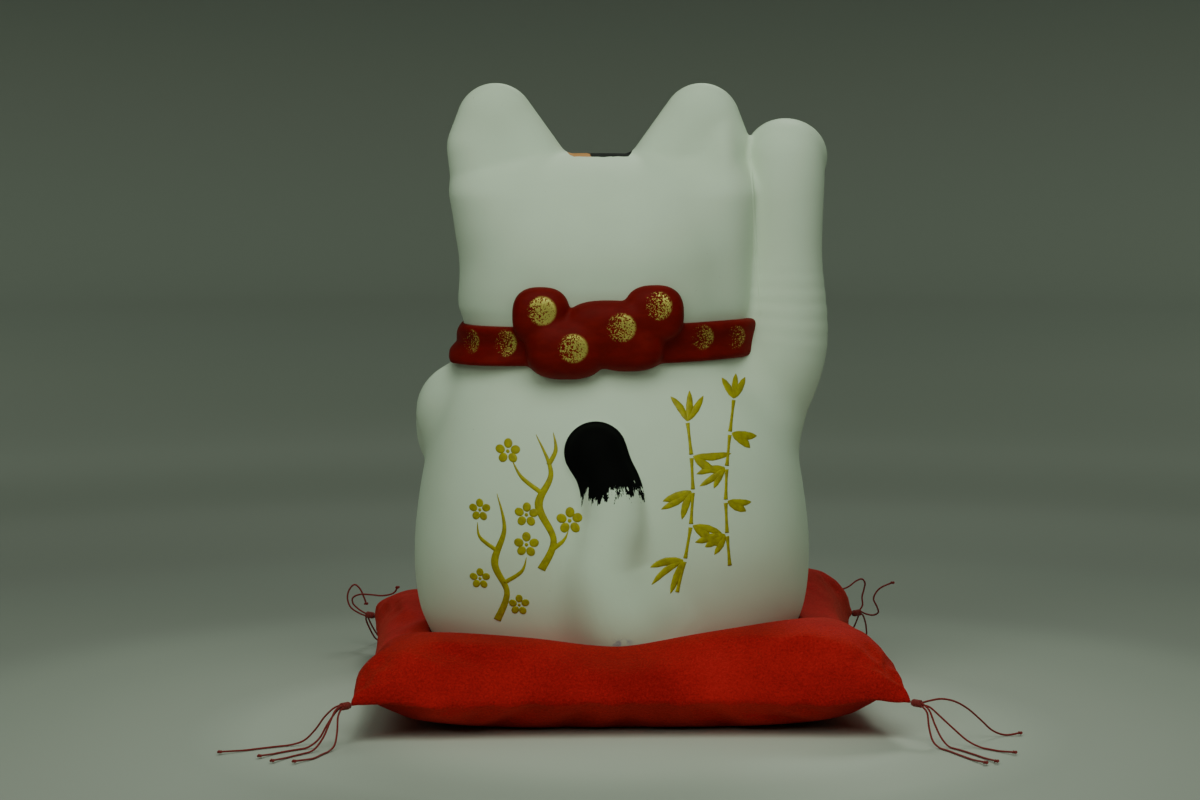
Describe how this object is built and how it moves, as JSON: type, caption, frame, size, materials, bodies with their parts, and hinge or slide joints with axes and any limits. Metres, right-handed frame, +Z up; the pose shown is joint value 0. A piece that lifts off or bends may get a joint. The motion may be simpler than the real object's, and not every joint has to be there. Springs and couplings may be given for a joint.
{
  "type": "beckoning cat figurine",
  "caption": "Seated ceramic beckoning cat with a raised paw, a relief collar and bow, and a filled square cushion with thread tassels.",
  "frame": {"origin": "middle of the cushion's underside", "axes": "+Z up, the cat faces -Y, +X is towards the cat's own left, where its lowered paw holds the coin"},
  "size_m": [0.3172, 0.3107, 0.2588],
  "materials": {
    "white_bisque": "matte",
    "red_relief": "matte painted",
    "gold_relief": "satin painted",
    "red_cloth": "crepe",
    "batting": "loose fibre",
    "red_thread": "twisted thread"
  },
  "bodies": {
    "cushion": {"cushion_top_panel": "red_cloth", "cushion_bottom_panel": "red_cloth", "cushion_filling": "batting", "corner_knot_1": "red_thread", "corner_knot_2": "red_thread", "corner_knot_3": "red_thread", "corner_knot_4": "red_thread", "thread_1_1": "red_thread", "thread_1_2": "red_thread", "thread_1_3": "red_thread", "thread_1_4": "red_thread", "thread_2_1": "red_thread", "thread_2_2": "red_thread", "thread_2_3": "red_thread", "thread_2_4": "red_thread", "thread_3_1": "red_thread", "thread_3_2": "red_thread", "thread_3_3": "red_thread", "thread_3_4": "red_thread", "thread_4_1": "red_thread", "thread_4_2": "red_thread", "thread_4_3": "red_thread", "thread_4_4": "red_thread", "thread_ends_1": "red_thread", "thread_ends_2": "red_thread", "thread_ends_3": "red_thread", "thread_ends_4": "red_thread"},
    "cat": {"cat_shell": "white_bisque", "raised_arm": "white_bisque", "tail": "white_bisque", "collar_band": "red_relief", "collar_bow": "red_relief", "bell": "gold_relief", "koban": "gold_relief"}
  },
  "joints": [
    {"name": "cat_lift", "type": "slide", "parent": "cushion", "child": "cat", "axis": [0, 0, 1], "range_m": [0, 0.08]}
  ]
}
